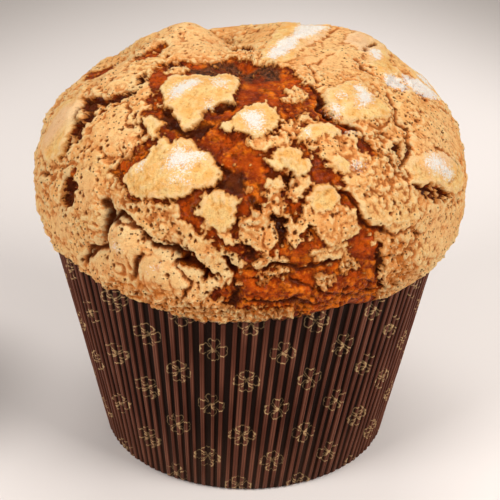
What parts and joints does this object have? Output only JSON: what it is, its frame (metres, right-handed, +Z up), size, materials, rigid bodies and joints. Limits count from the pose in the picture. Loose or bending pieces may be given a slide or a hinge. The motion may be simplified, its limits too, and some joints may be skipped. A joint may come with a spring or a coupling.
{
  "type": "panettone in a paper case",
  "caption": "Tall domed sweet loaf with a cracked glazed crust, standing in its fluted round paper case.",
  "frame": {"origin": "centre of the flat base of the paper case, on the surface it stands on", "axes": "+Z up through the crown; the shown side faces -Y; +X to the right of the shown side"},
  "size_m": [0.1887, 0.1907, 0.1844],
  "materials": {
    "crust": "baked crust: pale matt almond glaze in ragged plates with sugar, over glossy red-brown crust",
    "case_paper": "dark brown pleated paper with thin gold outline flowers, slight sheen on the pleats"
  },
  "bodies": {
    "root": {"loaf": "crust", "paper_case": "case_paper"}
  },
  "joints": []
}
